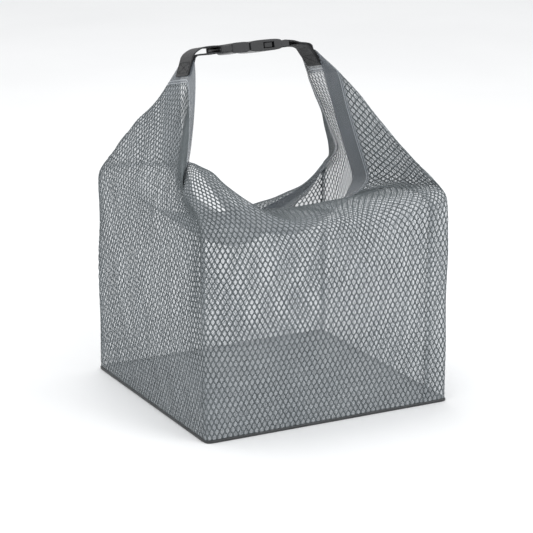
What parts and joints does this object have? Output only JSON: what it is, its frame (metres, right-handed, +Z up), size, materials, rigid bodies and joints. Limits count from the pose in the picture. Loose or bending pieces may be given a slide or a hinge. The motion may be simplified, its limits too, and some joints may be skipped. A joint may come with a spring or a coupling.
{
  "type": "mesh laundry bag",
  "caption": "Open-topped netted film tote bag whose two side peaks are joined over the mouth by webbing loops and a side-release buckle.",
  "frame": {"origin": "middle of the base, on the surface that the bag stands on", "axes": "+Z up, -Y the front, -X the side with the buckle's plug, +X the side with its socket"},
  "size_m": [0.249, 0.239, 0.3255],
  "materials": {
    "netted_film": "clear PVC film laminated to a dark grey net",
    "hem_film": "plain smoky translucent PVC film",
    "welt_strip": "dark PVC strip",
    "webbing": "black woven polyester",
    "thread": "black polyester thread",
    "acetal": "black moulded acetal, satin"
  },
  "bodies": {
    "bag": {"bottom_panel": "netted_film", "front_panel": "netted_film", "back_panel": "netted_film", "left_side_panel": "netted_film", "right_side_panel": "netted_film", "front_mouth_hem": "hem_film", "back_mouth_hem": "hem_film", "left_mouth_hem": "hem_film", "right_mouth_hem": "hem_film", "bottom_welt": "welt_strip", "left_strap": "webbing", "right_strap": "webbing", "left_strap_stitching": "thread", "right_strap_stitching": "thread", "buckle_socket": "acetal"},
    "plug": {"buckle_plug": "acetal"},
    "front_latch": {"prong_front": "acetal"},
    "back_latch": {"prong_back": "acetal"}
  },
  "joints": [
    {"name": "plug_slide", "type": "slide", "parent": "bag", "child": "plug", "axis": [-1, 0, 0], "range_m": [0, 0.022], "deforming": ["left_strap", "prong_front", "prong_back"]},
    {"name": "prong_front_squeeze", "type": "hinge", "parent": "plug", "child": "front_latch", "pos_m": [-0.0257, -0.00682, 0.31877], "axis": [0, 0.225, 0.9744], "range_deg": [0, 9], "stiffness_Nm_per_rad": 1},
    {"name": "prong_back_squeeze", "type": "hinge", "parent": "plug", "child": "back_latch", "pos_m": [-0.0257, 0.00682, 0.31562], "axis": [0, 0.225, 0.9744], "range_deg": [-9, 0], "stiffness_Nm_per_rad": 1}
  ],
  "couplings": [
    {"joint": "prong_back_squeeze", "follows": "prong_front_squeeze", "ratio": -1}
  ]
}
